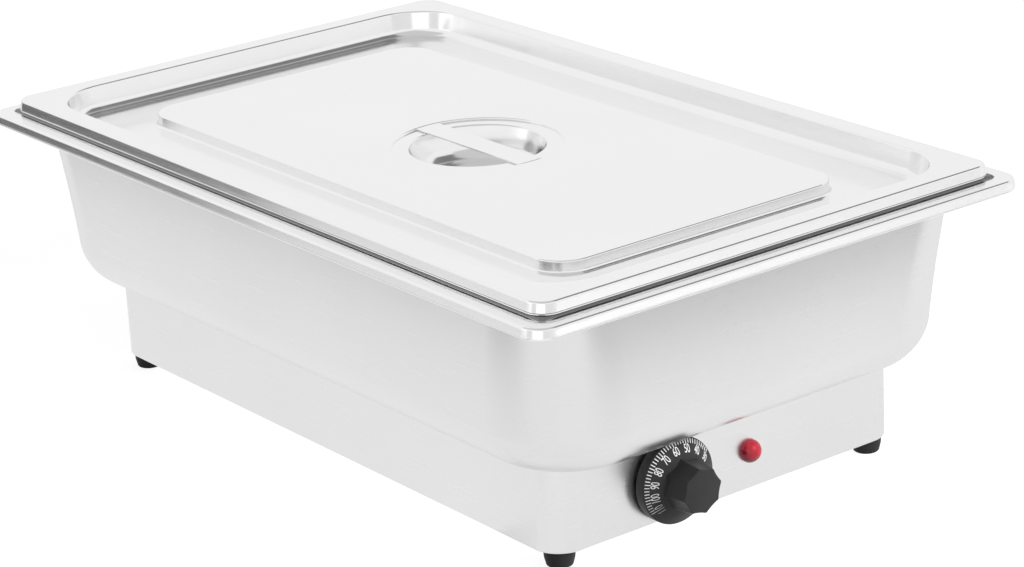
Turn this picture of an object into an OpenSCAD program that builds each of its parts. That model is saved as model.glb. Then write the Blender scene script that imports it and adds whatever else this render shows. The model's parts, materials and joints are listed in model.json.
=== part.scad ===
// Electric chafing dish: a loose lid over a full-size food pan, standing in a heated water bath on a
// plinth that holds the heater, the thermostat with its knob, and the pilot lamp.
// Lengths are in millimetres. +X points to the end with the knob, +Z up, and the feet stand on z = 0.

/* [Lid] */
// Length of the lid and of the food pan's flange
lid_l = 530; // [510:1:550]
// Width of the lid and of the food pan's flange
lid_w = 325; // [310:1:340]
// Corner radius of the lid and of the food pan's flange, seen from above
lid_corner_r = 12; // [9:0.5:20]
// Height of the turned-down lip round the lid
lid_lip_h = 6; // [4:0.5:8]
// Outward lean of the turned-down lips of the lid and of the bath's rim, in degrees
lip_flare = 10; // [0:1:15]
// Width of the flat border between the lid's edge and its well
lid_border_w = 14; // [13.5:0.5:18]
// Depth of the well below the border
well_depth = 16; // [13:0.5:20]
// Corner radius of the well, seen from above
well_corner_r = 38; // [36:1:55]
// Length of the raised panel in the well
panel_l = 410; // [380:1:430]
// Width of the raised panel in the well
panel_w = 206; // [190:1:225]
// Corner radius of the raised panel
panel_corner_r = 20; // [10:1:30]
// Height of the raised panel above the well's floor
panel_rise = 7.2; // [5:0.2:9]

/* [Lid grip] */
// Diameter of the finger dish at its opening
dish_d = 84; // [76:1:90]
// Depth of the finger dish below the panel
dish_depth = 20; // [17:0.5:24]
// Width of the sunk ledge round the dish, which carries the grip bar's ends
ledge_w = 9; // [7:0.5:12]
// Width of the grip bar
bar_w = 16.5; // [14:0.5:22]
// Thickness of the grip bar
bar_t = 1.2; // [1:0.1:2]

/* [Food pan] */
// Length of the food pan's walls at the flange
pan_l = 505; // [504:0.5:510]
// Width of the food pan's walls at the flange
pan_w = 300; // [299:0.5:305]
// Corner radius of the food pan's walls at the flange
pan_corner_r = 40; // [36:1:42]
// Depth of the food pan
pan_depth = 65; // [50:1:80]
// Radius between the food pan's walls and its floor
pan_fillet_r = 20; // [12:1:25]

/* [Water bath] */
// Length of the bath's walls at the rim
bath_l = 522; // [518:0.5:524]
// Width of the bath's walls at the rim
bath_w = 317; // [313:0.5:319]
// Height of the bath from its underside to the pan's seat
bath_h = 108.5; // [95:0.5:125]
// Corner radius of the bath's walls at the rim
bath_corner_r = 50; // [42:1:65]
// Radius between the bath's walls and its floor
bath_fillet_r = 27.5; // [20:0.5:30]
// Lean of the walls of the bath and the food pan, in degrees
wall_draft = 4; // [2:0.25:5]
// How far the bath's rim stands out beyond the lid
rim_margin = 12; // [10:0.5:16]
// How far the rim steps down outside the pan's seat
rim_step = 1.2; // [1:0.1:2]
// Height of the turned-down lip round the rim
rim_lip_h = 4.7; // [4:0.1:7]
// Thickness of the rolled edge under the rim's lip
rim_roll_d = 2.6; // [2:0.1:3.2]
// Sheet thickness of lid, food pan and bath
sheet_t = 0.8; // [0.6:0.1:0.9]

/* [Plinth] */
// Length of the plinth
plinth_l = 443; // [436:1:450]
// Width of the plinth
plinth_w = 253; // [248:1:258]
// Height of the plinth, from its lower edge to the underside of the bath
plinth_h = 50.5; // [50:0.5:56]
// Corner radius of the plinth
plinth_corner_r = 17; // [12:1:20]
// Sheet thickness of the plinth and its bottom plate
plinth_t = 1; // [0.8:0.1:1.4]
// Width of the plinth's upper turned-in edge
top_edge_w = 13; // [12.5:0.5:15]
// Width of the plinth's lower turned-in edge
bottom_edge_w = 25; // [22:0.5:30]

/* [Feet] */
// Height of a foot
foot_h = 10; // [9:0.5:16]
// Diameter of a foot at the plinth
foot_top_d = 18; // [16:0.5:18]
// Diameter of a foot at the table
foot_bottom_d = 15.5; // [13:0.5:16]
// Distance from the plinth's faces to the centre of a foot
foot_inset = 12.5; // [12.5:0.5:16]

/* [Thermostat and knob] */
// Distance of the knob's axis from the middle of the plinth's end, to the left of it
knob_offset = 45.8; // [40:0.1:60]
// Height of the knob's axis above the plinth's lower edge
knob_z = 24.8; // [22:0.1:24.8]
// Diameter of the knob's skirt
skirt_d = 50; // [44:0.5:50]
// Thickness of the knob's skirt at its edge
skirt_t = 6.4; // [5:0.2:8]
// Slope of the skirt's face towards the grip, in degrees
skirt_slope = 30; // [15:1:35]
// Space between the plinth and the knob's skirt
skirt_gap = 1.5; // [1:0.1:3]
// Width of the eight-sided grip across the flats of its front
grip_af = 25.2; // [20:0.2:28]
// How much wider the grip is at the skirt than at its front
grip_taper = 4.4; // [0:0.2:6]
// Turn of the grip's corners at rest, in degrees
grip_turn = 9; // [0:1:44]
// Length of the eight-sided grip
grip_l = 20.7; // [16:0.1:22]
// Diameter of the thermostat's shaft
shaft_d = 6; // [5:0.5:8]
// Length of the thermostat's case
case_l = 30; // [26:1:34]
// Width of the thermostat's case
case_w = 34; // [34:1:38]
// Height of the thermostat's case
case_h = 27; // [24:1:28]
// Distance between the thermostat's two fixing screws
thermostat_pitch = 28; // [27:0.5:28]

/* [Pilot lamp] */
// Distance of the lamp from the middle of the plinth's end, to the right of it
lamp_offset = 13; // [8:0.5:40]
// Height of the lamp above the plinth's lower edge
lamp_z = 23; // [20:0.5:30]
// Diameter of the lamp's lens
lens_d = 13.5; // [13:0.5:18]
// Height of the lamp's lens
lens_h = 7; // [4:0.5:8]
// Diameter of the lamp's body
lamp_d = 10; // [8:0.5:11]
// Length of the lamp's body
lamp_l = 25; // [18:1:30]

/* [Heater] */
// Diameter of the tubular heating element
element_d = 8; // [6:0.5:9]
// Distance between the element's legs
leg_pitch = 50; // [46:1:54]
// Length of the element's straight legs
leg_l = 250; // [220:5:270]
// Thickness of the heat spreader
spreader_t = 2; // [1.5:0.5:3]
// Thickness of the insulation pad
pad_t = 4; // [2:0.5:4.5]
// Distance between the clamps across the element
clamp_pitch = 80; // [60:1:95]
// Diameter of the thermostat's sensor bulb
bulb_d = 6; // [5:0.5:7]
// Length of the thermostat's sensor bulb
bulb_l = 80; // [60:1:110]
// Diameter of the capillary tube
capillary_d = 2; // [1.5:0.1:2.5]
// Diameter of the thermal cut-out
cutout_d = 16; // [14:0.5:18]

/* [Wiring and cable entry] */
// Diameter of an inner wire
wire_d = 2.6; // [2:0.1:3]
// Length of the terminal block
block_l = 45; // [40:1:50]
// Distance of the cable gland from the middle of the plinth's end
gland_offset = 60; // [40:1:70]
// Height of the cable gland above the plinth's lower edge
gland_z = 25; // [22:0.5:28]
// Diameter of the gland's threaded neck
gland_d = 16; // [14:0.5:18]
// Diameter of the gland's bore for the mains lead
gland_bore_d = 8.4; // [7:0.2:10]

/* [Fasteners] */
// Diameter of the studs welded under the bath
stud_d = 5; // [4:0.5:5]
// Diameter of the screws of the feet and the thermostat
screw_d = 4; // [3:0.5:4]

/* [Hidden] */
$fn = 96;

// Steps in one rounded stretch of a sheet's section
arc_steps = 8;
// Length of the flat stub at each end of a sheet's section; a plate that joins it ends halfway along the stub
lap = 0.8;
half_lap = lap / 2;
// Space between pieces that only rest on each other
rest_gap = 0.2;
// Space round a screw or stud in its clearance hole
hole_gap = 0.3;
// Radial space of a running or threaded fit
fit_gap = 0.05;
// Sides of a wire
tube_sides = 8;

// Levels
plinth_z0 = foot_h;
floor_z = foot_h + plinth_h;
seat_z = floor_z + bath_h;
rim_z = seat_z - rim_step;
flange_z = seat_z + rest_gap + sheet_t;
lid_z = flange_z + rest_gap + lid_lip_h;
well_z = lid_z - well_depth;
panel_z = well_z + panel_rise;
ledge_z = panel_z - bar_t;

// Bends of the sheet
sheet_bend_r = 2;
pan_bend_r = 4;
lip_bend_r = 1.6;
well_bend_r = 1.4;
well_fillet_r = 7;
well_draft = 11;
step_draft = 4;
step_in_r = 2;
step_out_r = 1;
dish_draft = 20;
dish_fillet_r = 12;
dish_bend_r = 1.6;

// Lid
well_l = lid_l - 2 * lid_border_w;
well_w = lid_w - 2 * lid_border_w;
ledge_d = dish_d + 2 * ledge_w;
step_out_x = -step_out_r * tan(45 - step_draft / 2);
step_in_x = panel_rise * tan(step_draft) + step_in_r * tan(45 - step_draft / 2);

// Rim of the bath
rim_l = lid_l + 2 * rim_margin;
rim_w = lid_w + 2 * rim_margin;
seat_inset = 0.8;
seat_slope = 1.2;
rim_corner_r = rim_margin + seat_inset + lap + 0.4;

// Plinth
panel_x = plinth_l / 2;
inner_x = panel_x - plinth_t;
plate_z = plinth_z0 + plinth_t;
plate_top_z = plate_z + plinth_t;
plate_gap = 0.4;
foot_x = plinth_l / 2 - foot_inset;
foot_y = plinth_w / 2 - foot_inset;
feet_at = [for (sx = [1, -1], sy = [-1, 1]) [sx * foot_x, sy * foot_y]];
stud_inset = 72;
stud_x = plinth_l / 2 - stud_inset;
stud_y = plinth_w / 2 - top_edge_w / 2 - plinth_t / 2;
studs_at = [for (sx = [1, -1], sy = [-1, 1]) [sx * stud_x, sy * stud_y]];

// Fasteners
screw_tail_l = 2;
head_d = 1.9 * screw_d;
head_h = 0.5 * screw_d;
nut_t = 0.8 * screw_d;
nut_af = 1.75 * screw_d;
stud_nut_t = 0.8 * stud_d;
stud_nut_af = 1.6 * stud_d;
stud_tail_l = 4;
bath_stud_l = plinth_t + stud_nut_t + stud_tail_l;
counterbore_h = 0.5 * foot_h;
foot_edge_r = 1.5;

// Knob and thermostat, from the plinth's face outwards along +X
knob_y = -knob_offset;
knob_axis_z = plinth_z0 + knob_z;
skirt_x = panel_x + skirt_gap;
grip_x = skirt_x + skirt_t;
knob_front_x = grip_x + grip_l;
cone_tip_d = 0.95 * grip_af;
cone_h = (skirt_d - cone_tip_d) / 2 * tan(skirt_slope);
recess_h = 3;
hub_x = skirt_x + recess_h;
recess_d = thermostat_pitch + head_d + 6;
knob_front_t = 6;
knob_bore_end_x = knob_front_x - knob_front_t;
shaft_end_gap = 0.5;
shaft_end_x = knob_bore_end_x - shaft_end_gap;
shaft_flat = 0.25 * shaft_d;
shaft_inner_l = 18;
shaft_start_x = inner_x - shaft_inner_l;
bracket_t = 1.5;
screw_inner_l = 8;
case_x = inner_x - bracket_t - case_l;
blade_l = 8;
blade_t = 0.8;
blade_w = 6.3;
lamp_blade_w = 4.8;
cutout_blade_w = 4.8;
spring_t = 0.6;
spring_l = 10;

// Heater stack under the bath, from the bath down
element_gap = 0.1;
spreader_l = leg_l + leg_pitch + element_d + 12;
spreader_w = 3 * leg_pitch + element_d + 12;
spreader_z = floor_z - spreader_t;
element_z = spreader_z - element_gap - element_d / 2;
clamp_t = 1.5;
clamp_w = 14;
clamp_l = spreader_w + 8;
clamp_z = element_z - element_d / 2 - element_gap - clamp_t;
shield_drop = 6.3;
shield_t = 1;
shield_edge_h = 8;
shield_z = clamp_z - shield_drop;
shield_l = spreader_l + 10;
shield_w = clamp_l + 6;
clamp_stud_l = floor_z - shield_z + stud_nut_t + stud_tail_l;
clamp_studs_at = [for (i = [-1 : 1], sy = [-1, 1]) [i * clamp_pitch, sy * leg_pitch]];
pin_d = 4;
pin_l = 22;

// Sensor bulb and thermal cut-out, in the strips beside the shield
bulb_y = -(shield_w / 2 + bulb_d / 2 + 1);
bulb_z = floor_z - element_gap - bulb_d / 2;
bulb_x = 40;
cutout_y = shield_w / 2 + cutout_d / 2 + 1;
cutout_x = -60;
cutout_h = 9;
cutout_flange_t = 1.2;
cutout_blade_l = 6;

// Wiring
block_w = 22;
block_h = 18;
block_inset = 40;
block_x = -inner_x + block_inset;
block_y = gland_offset;
earth_inset = 36;
earth_x = -inner_x + earth_inset;
earth_y = -60;
earth_h = 16;
gland_hex_af = gland_d + 4;
gland_hex_l = 7;
gland_dome_l = 9;
gland_neck_l = 11;
gland_nut_t = 5;
gland_axis_z = plinth_z0 + gland_z;

// Points of a round stretch of a section, from one angle to another
function arc(centre, radius, from, to) =
    [for (i = [0 : arc_steps]) let (a = from + (to - from) * i / arc_steps)
        centre + radius * [cos(a), sin(a)]];

// Direction of a vector, with length one
function unit(v) = v / norm(v);

// Points round a tube's route at one of its points: square to the route at its start, mitred at a bend
function tube_ring(route, i, d) =
    i == 0
    ? let (
        along = unit(route[1] - route[0]),
        side = abs(along[2]) > 0.9 ? [1, 0, 0] : unit(cross(along, [0, 0, 1])),
        up = cross(side, along)
    )
    [for (k = [0 : tube_sides - 1]) let (a = 360 * k / tube_sides)
        route[0] + d / 2 * (cos(a) * side + sin(a) * up)]
    : let (
        along = unit(route[i] - route[i - 1]),
        after = i < len(route) - 1 ? unit(route[i + 1] - route[i]) : along,
        normal = along + after
    )
    [for (q = tube_ring(route, i - 1, d)) q + along * ((route[i] - q) * normal) / (along * normal)];

// Where the rounded floor edge and the bend at the top of a drawn bowl have their centres,
// as [distance outside the wall's top line, height]
function fillet_centre(top_z, depth, draft, fillet) =
    let (z = top_z - depth + fillet, tangent_z = z - fillet * sin(draft))
    [-(top_z - tangent_z) * tan(draft) - fillet * cos(draft), z];
function bend_centre(top_z, draft, bend) =
    [-bend * tan(draft) + (bend - sheet_t) / cos(draft), top_z - bend];

// Section of a drawn bowl's sheet, from a stub of its floor up the wall to a stub of its flange
function bowl(top_z, depth, draft, fillet, bend) =
    let (f = fillet_centre(top_z, depth, draft, fillet), b = bend_centre(top_z, draft, bend))
    concat(
        [[f[0] - lap, top_z - depth]],
        arc(f, fillet, -90, -draft),
        arc(b, bend - sheet_t, 180 - draft, 90),
        [[b[0] + lap, top_z - sheet_t], [b[0] + lap, top_z]],
        arc(b, bend, 90, 180 - draft),
        arc(f, fillet - sheet_t, -draft, -90),
        [[f[0] - lap, top_z - depth + sheet_t]]
    );

// Where the bend of a flared lip has its centre, as [distance outside the lip's lower edge, height]
function lip_centre(top_z, h) =
    let (straight_h = h - lip_bend_r * (1 - sin(lip_flare)))
    [-lip_bend_r * cos(lip_flare) - straight_h * tan(lip_flare), top_z - lip_bend_r];

// Faces of a flared lip, from the bend's outer side round the lower edge to the bend's inner side
function lip_turn(top_z, h) =
    let (c = lip_centre(top_z, h))
    concat(
        arc(c, lip_bend_r, 90, lip_flare),
        [[0, top_z - h], [-sheet_t / cos(lip_flare), top_z - h]],
        arc(c, lip_bend_r - sheet_t, lip_flare, 90)
    );

// Section of a turned-down lip: a stub of the flange, the bend and the lip
function lip(top_z, h) =
    let (stub_x = lip_centre(top_z, h)[0] - lap)
    concat([[stub_x, top_z]], lip_turn(top_z, h), [[stub_x, top_z - sheet_t]]);

// Section of the step from the well's floor up to the raised panel
function panel_step() =
    concat(
        [[step_in_x + lap, well_z]],
        arc([step_in_x, well_z + step_in_r], step_in_r, 270, 180 + step_draft),
        arc([step_out_x, panel_z - step_out_r], step_out_r, step_draft, 90),
        [[step_out_x - lap, panel_z], [step_out_x - lap, panel_z - sheet_t]],
        arc([step_out_x, panel_z - step_out_r], step_out_r - sheet_t, 90, step_draft),
        arc([step_in_x, well_z + step_in_r], step_in_r + sheet_t, 180 + step_draft, 270),
        [[step_in_x + lap, well_z - sheet_t]]
    );

// Section of the bath's rim: the seat's outer edge, the step down, the border, the lip and its rolled edge
module rim_section() {
    inner = rim_margin + seat_inset;
    polygon(concat(
        [[-inner - lap, seat_z], [-inner, seat_z], [-inner + seat_slope, rim_z]],
        lip_turn(rim_z, rim_lip_h),
        [[-inner + seat_slope, rim_z - sheet_t], [-inner, seat_z - sheet_t], [-inner - lap, seat_z - sheet_t]]
    ));
    translate([-rim_roll_d / 2 - sheet_t / 4, rim_z - rim_lip_h - rim_roll_d / 2 + sheet_t / 2])
        circle(d = rim_roll_d);
}

// Rectangle with round corners, grown outwards by a distance
module outline(l, w, r, grow = 0) {
    reach = r + grow;
    square([l - 2 * r, w + 2 * grow], center = true);
    square([l + 2 * grow, w - 2 * r], center = true);
    for (sx = [1, -1], sy = [1, -1])
        translate([sx * (l / 2 - r), sy * (w / 2 - r)])
            circle(r = reach);
}

// A section carried round a rectangle with round corners; the section's x runs outwards from it
module sweep(l, w, r) {
    for (turn = [0, 180])
        rotate(turn) {
            translate([r - l / 2, w / 2, 0])
                rotate([90, 0, 90])
                    linear_extrude(l - 2 * r)
                        children();
            rotate(90)
                translate([r - w / 2, l / 2, 0])
                    rotate([90, 0, 90])
                        linear_extrude(w - 2 * r)
                            children();
            translate([l / 2 - r, w / 2 - r, 0])
                rotate_extrude(angle = 90)
                    translate([r, 0])
                        children();
            translate([r - l / 2, w / 2 - r, 0])
                rotate(90)
                    rotate_extrude(angle = 90)
                        translate([r, 0])
                            children();
        }
}

// A drawn bowl with its floor
module drawn_bowl(l, w, r, top_z, depth, draft, fillet, bend) {
    sweep(l, w, r)
        polygon(bowl(top_z, depth, draft, fillet, bend));
    translate([0, 0, top_z - depth])
        linear_extrude(sheet_t)
            outline(l, w, r, fillet_centre(top_z, depth, draft, fillet)[0] - half_lap);
}

// A level sheet with its upper face at a height
module sheet_at(z, t = sheet_t) {
    translate([0, 0, z - t])
        linear_extrude(t)
            children();
}

// A round bar along X, or one with few sides
module bar_x(x0, x1, d, fn = $fn) {
    translate([x0, 0, 0])
        rotate([0, 90, 0])
            cylinder(d = d, h = x1 - x0, $fn = fn);
}

// Hexagon nut standing on z = 0, with its bore
module nut(af, t, bore_d) {
    difference() {
        cylinder(d = af / cos(30), h = t, $fn = 6);
        translate([0, 0, -1])
            cylinder(d = bore_d, h = t + 2);
    }
}

// A wire or thin tube along a route, with its bends mitred
module wire(route, d) {
    last = len(route) - 1;
    polyhedron(
        points = [for (i = [0 : last]) each tube_ring(route, i, d)],
        faces = concat(
            [[for (k = [tube_sides - 1 : -1 : 0]) k], [for (k = [0 : tube_sides - 1]) last * tube_sides + k]],
            [for (i = [0 : last - 1], k = [0 : tube_sides - 1])
                let (here = i * tube_sides, there = here + tube_sides, next = (k + 1) % tube_sides)
                [here + k, here + next, there + next, there + k]]
        )
    );
}

// Lid: lip, border, well, raised panel and finger dish, pressed from one sheet
module lid() {
    lip_bend = lip_centre(lid_z, lid_lip_h);
    well_bend = bend_centre(lid_z, well_draft, well_bend_r);
    dish_bend = bend_centre(ledge_z, dish_draft, dish_bend_r);
    well_floor = fillet_centre(lid_z, well_depth + sheet_t, well_draft, well_fillet_r);
    dish_floor = fillet_centre(ledge_z, dish_depth - bar_t + sheet_t, dish_draft, dish_fillet_r);
    color("gainsboro") {
        sweep(lid_l, lid_w, lid_corner_r)
            polygon(lip(lid_z, lid_lip_h));
        sheet_at(lid_z)
            difference() {
                outline(lid_l, lid_w, lid_corner_r, lip_bend[0] - half_lap);
                outline(well_l, well_w, well_corner_r, well_bend[0] + half_lap);
            }
        sweep(well_l, well_w, well_corner_r)
            polygon(bowl(lid_z, well_depth + sheet_t, well_draft, well_fillet_r, well_bend_r));
        sheet_at(well_z)
            difference() {
                outline(well_l, well_w, well_corner_r, well_floor[0] - half_lap);
                outline(panel_l, panel_w, panel_corner_r, step_in_x + half_lap);
            }
        sweep(panel_l, panel_w, panel_corner_r)
            polygon(panel_step());
        sheet_at(panel_z)
            difference() {
                outline(panel_l, panel_w, panel_corner_r, step_out_x - half_lap);
                circle(d = ledge_d);
            }
        translate([0, 0, ledge_z - sheet_t])
            difference() {
                cylinder(d = ledge_d + 2 * sheet_t, h = bar_t + sheet_t / 2);
                translate([0, 0, sheet_t])
                    cylinder(d = ledge_d, h = bar_t + 1);
                translate([0, 0, -1])
                    cylinder(d = dish_d + 2 * (dish_bend[0] + half_lap), h = sheet_t + 2);
            }
        rotate_extrude()
            translate([dish_d / 2, 0])
                polygon(bowl(ledge_z, dish_depth - bar_t + sheet_t, dish_draft, dish_fillet_r, dish_bend_r));
        sheet_at(panel_z - dish_depth)
            circle(d = dish_d + 2 * (dish_floor[0] - half_lap));
    }
}

// Grip bar: a flat strap across the dish, its round ends sunk in the ledge flush with the panel
module lid_grip_bar() {
    color("silver")
        translate([0, 0, ledge_z])
            intersection() {
                cylinder(d = ledge_d - 2 * hole_gap, h = bar_t);
                translate([-ledge_d / 2, -bar_w / 2, -1])
                    cube([ledge_d, bar_w, bar_t + 2]);
            }
}

// Food pan: a drawn pan with a flat flange
module food_pan() {
    pan_bend = bend_centre(flange_z, wall_draft, pan_bend_r);
    color("silver") {
        drawn_bowl(pan_l, pan_w, pan_corner_r, flange_z, pan_depth, wall_draft, pan_fillet_r, pan_bend_r);
        sheet_at(flange_z)
            difference() {
                outline(lid_l, lid_w, lid_corner_r);
                outline(pan_l, pan_w, pan_corner_r, pan_bend[0] + half_lap);
            }
    }
}

// Water bath: a drawn tank with a seat for the food pan and a stepped, rolled rim
module water_bath() {
    bath_bend = bend_centre(seat_z, wall_draft, sheet_bend_r);
    color("lightgray") {
        drawn_bowl(bath_l, bath_w, bath_corner_r, seat_z, bath_h, wall_draft, bath_fillet_r, sheet_bend_r);
        sheet_at(seat_z)
            difference() {
                outline(rim_l, rim_w, rim_corner_r, -rim_margin - seat_inset - half_lap);
                outline(bath_l, bath_w, bath_corner_r, bath_bend[0] + half_lap);
            }
        sweep(rim_l, rim_w, rim_corner_r)
            rim_section();
    }
}

// The opening that a turned-in edge of the plinth leaves
module edge_opening(edge_w) {
    square([plinth_l - 2 * edge_w, plinth_w - 2 * edge_w], center = true);
}

// Plinth: a folded skirt with turned-in edges above and below
module plinth() {
    color("lightgray")
        difference() {
            translate([0, 0, plinth_z0])
                difference() {
                    linear_extrude(plinth_h)
                        outline(plinth_l, plinth_w, plinth_corner_r);
                    translate([0, 0, plinth_t])
                        linear_extrude(plinth_h - 2 * plinth_t)
                            outline(plinth_l, plinth_w, plinth_corner_r, -plinth_t);
                    translate([0, 0, -1])
                        linear_extrude(plinth_h / 2)
                            edge_opening(bottom_edge_w);
                    translate([0, 0, plinth_h / 2])
                        linear_extrude(plinth_h)
                            edge_opening(top_edge_w);
                }
            for (p = feet_at)
                translate([p[0], p[1], plinth_z0 - 1])
                    cylinder(d = screw_d + 2 * hole_gap, h = plinth_t + 2);
            for (p = studs_at)
                translate([p[0], p[1], floor_z - plinth_t - 1])
                    cylinder(d = stud_d + 2 * hole_gap, h = plinth_t + 2);
            translate([0, knob_y, knob_axis_z])
                bar_x(inner_x - 1, panel_x + 1, shaft_d + 4);
            for (side = [-1, 1])
                translate([0, knob_y + side * thermostat_pitch / 2, knob_axis_z])
                    bar_x(inner_x - 1, panel_x + 1, screw_d + 2 * hole_gap);
            translate([0, lamp_offset, plinth_z0 + lamp_z])
                bar_x(inner_x - 1, panel_x + 1, lamp_d + 2 * hole_gap);
            translate([0, gland_offset, gland_axis_z])
                bar_x(-panel_x - 1, -inner_x + 1, gland_d + 2 * hole_gap);
        }
}

// Bottom plate: lies on the plinth's lower edge, held by the screws of the feet
module bottom_plate() {
    color("darkgray")
        difference() {
            sheet_at(plate_top_z, plinth_t)
                outline(plinth_l, plinth_w, plinth_corner_r, -plinth_t - plate_gap);
            for (p = feet_at)
                translate([p[0], p[1], plate_z - 1])
                    cylinder(d = screw_d + 2 * hole_gap, h = plinth_t + 2);
        }
}

// Foot: a tapered rubber buffer with a sunk hole for its screw
module foot(number) {
    place = feet_at[number - 1];
    taper = (foot_top_d - foot_bottom_d) / 2;
    color("#262626")
        translate([place[0], place[1], 0])
            difference() {
                rotate_extrude()
                    polygon(concat(
                        [[0, 0]],
                        arc([foot_bottom_d / 2 - foot_edge_r, foot_edge_r], foot_edge_r, -90, 0),
                        [[foot_bottom_d / 2 + 0.7 * taper, foot_h / 2], [foot_top_d / 2, foot_h], [0, foot_h]]
                    ));
                translate([0, 0, -1])
                    cylinder(d = screw_d + 2 * hole_gap, h = foot_h + 2);
                translate([0, 0, -1])
                    cylinder(d = head_d + 2 * hole_gap, h = counterbore_h + 1);
            }
}

// Screws through the feet, the plinth's lower edge and the bottom plate
module foot_screws() {
    color("gray")
        for (p = feet_at)
            translate([p[0], p[1], counterbore_h]) {
                translate([0, 0, -head_h])
                    cylinder(d = head_d, h = head_h);
                cylinder(d = screw_d, h = plate_top_z + nut_t + screw_tail_l - counterbore_h);
            }
}

module foot_nuts() {
    color("gray")
        for (p = feet_at)
            translate([p[0], p[1], plate_top_z])
                nut(nut_af, nut_t, screw_d + 2 * fit_gap);
}

// Studs welded under the bath's floor, through the plinth's upper edge
module bath_studs() {
    color("gray")
        for (p = studs_at)
            translate([p[0], p[1], floor_z - bath_stud_l])
                cylinder(d = stud_d, h = bath_stud_l);
}

module bath_nuts() {
    color("gray")
        for (p = studs_at)
            translate([p[0], p[1], floor_z - plinth_t - stud_nut_t])
                nut(stud_nut_af, stud_nut_t, stud_d + 2 * fit_gap);
}

// Clearance holes for the studs that carry the heater stack
module clamp_stud_holes(d, z, t) {
    for (p = clamp_studs_at)
        translate([p[0], p[1], z - 1])
            cylinder(d = d, h = t + 2);
}

// Heat spreader: an aluminium plate against the bath's floor
module heat_spreader() {
    color("lightsteelblue")
        difference() {
            translate([-spreader_l / 2, -spreader_w / 2, spreader_z])
                cube([spreader_l, spreader_w, spreader_t]);
            clamp_stud_holes(stud_d + 2 * hole_gap, spreader_z, spreader_t);
        }
}

// Heating element: four legs joined by three half-round bends, with a contact pin at each end
module heating_element() {
    bend_x = leg_l / 2;
    color("dimgray")
        translate([0, 0, element_z]) {
            for (i = [-1.5 : 1 : 1.5])
                translate([0, i * leg_pitch, 0])
                    bar_x(-bend_x, bend_x, element_d);
            for (side = [-1, 1])
                translate([-bend_x, side * leg_pitch, 0])
                    rotate(90)
                        rotate_extrude(angle = 180)
                            translate([leg_pitch / 2, 0])
                                circle(d = element_d);
            translate([bend_x, 0, 0])
                rotate(-90)
                    rotate_extrude(angle = 180)
                        translate([leg_pitch / 2, 0])
                            circle(d = element_d);
            for (side = [-1.5, 1.5])
                translate([0, side * leg_pitch, 0])
                    bar_x(bend_x - 1, bend_x + pin_l, pin_d);
        }
}

// Clamps: flat straps that press the element against the spreader
module element_clamps() {
    color("gray")
        difference() {
            for (i = [-1 : 1])
                translate([i * clamp_pitch - clamp_w / 2, -clamp_l / 2, clamp_z])
                    cube([clamp_w, clamp_l, clamp_t]);
            clamp_stud_holes(stud_d + 2 * hole_gap, clamp_z, clamp_t);
        }
}

module clamp_studs() {
    color("gray")
        for (p = clamp_studs_at)
            translate([p[0], p[1], floor_z - clamp_stud_l])
                cylinder(d = stud_d, h = clamp_stud_l);
}

module clamp_nuts() {
    color("gray")
        for (p = clamp_studs_at)
            translate([p[0], p[1], clamp_z - stud_nut_t])
                nut(stud_nut_af, stud_nut_t, stud_d + 2 * fit_gap);
}

// Insulation pad: a fibre mat lying in the heat shield, cut out round the nuts
module insulation_pad() {
    pad_gap = 2;
    pad_l = shield_l - 2 * (shield_t + pad_gap);
    pad_w = shield_w - 2 * (shield_t + pad_gap);
    color("ivory")
        difference() {
            translate([-pad_l / 2, -pad_w / 2, shield_z + shield_t])
                cube([pad_l, pad_w, pad_t]);
            clamp_stud_holes(stud_nut_af / cos(30) + 4, shield_z + shield_t, pad_t);
        }
}

// Heat shield: a shallow tray below the element
module heat_shield() {
    color("silver")
        difference() {
            translate([-shield_l / 2, -shield_w / 2, shield_z])
                cube([shield_l, shield_w, shield_t + shield_edge_h]);
            translate([-shield_l / 2 + shield_t, -shield_w / 2 + shield_t, shield_z + shield_t])
                cube([shield_l - 2 * shield_t, shield_w - 2 * shield_t, shield_edge_h + 1]);
            clamp_stud_holes(stud_d + 2 * hole_gap, shield_z, shield_t);
        }
}

module shield_nuts() {
    color("gray")
        for (p = clamp_studs_at)
            translate([p[0], p[1], shield_z - stud_nut_t])
                nut(stud_nut_af, stud_nut_t, stud_d + 2 * fit_gap);
}

// Thermostat: its case with a fixing bracket in front and contact blades behind
module thermostat_case() {
    bracket_w = thermostat_pitch + 2 * screw_d + 4;
    color("#3a3a3a")
        translate([0, knob_y, knob_axis_z])
            difference() {
                union() {
                    translate([case_x, -case_w / 2, -case_h / 2])
                        cube([case_l, case_w, case_h]);
                    translate([inner_x - bracket_t, -bracket_w / 2, -case_h / 2])
                        cube([bracket_t, bracket_w, case_h]);
                    for (side = [-1, 0, 1])
                        translate([case_x - blade_l, side * case_w / 4 - blade_t / 2, -blade_w / 2])
                            cube([blade_l + 1, blade_t, blade_w]);
                }
                bar_x(shaft_start_x - shaft_end_gap, inner_x + 1, shaft_d + 2 * fit_gap);
                for (side = [-1, 1])
                    translate([0, side * thermostat_pitch / 2, 0])
                        bar_x(inner_x - screw_inner_l - 1, inner_x + 1, screw_d + 2 * fit_gap);
            }
}

module thermostat_screws() {
    color("gray")
        for (side = [-1, 1])
            translate([0, knob_y + side * thermostat_pitch / 2, knob_axis_z]) {
                bar_x(panel_x, panel_x + head_h, head_d);
                bar_x(inner_x - screw_inner_l, panel_x, screw_d);
            }
}

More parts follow.
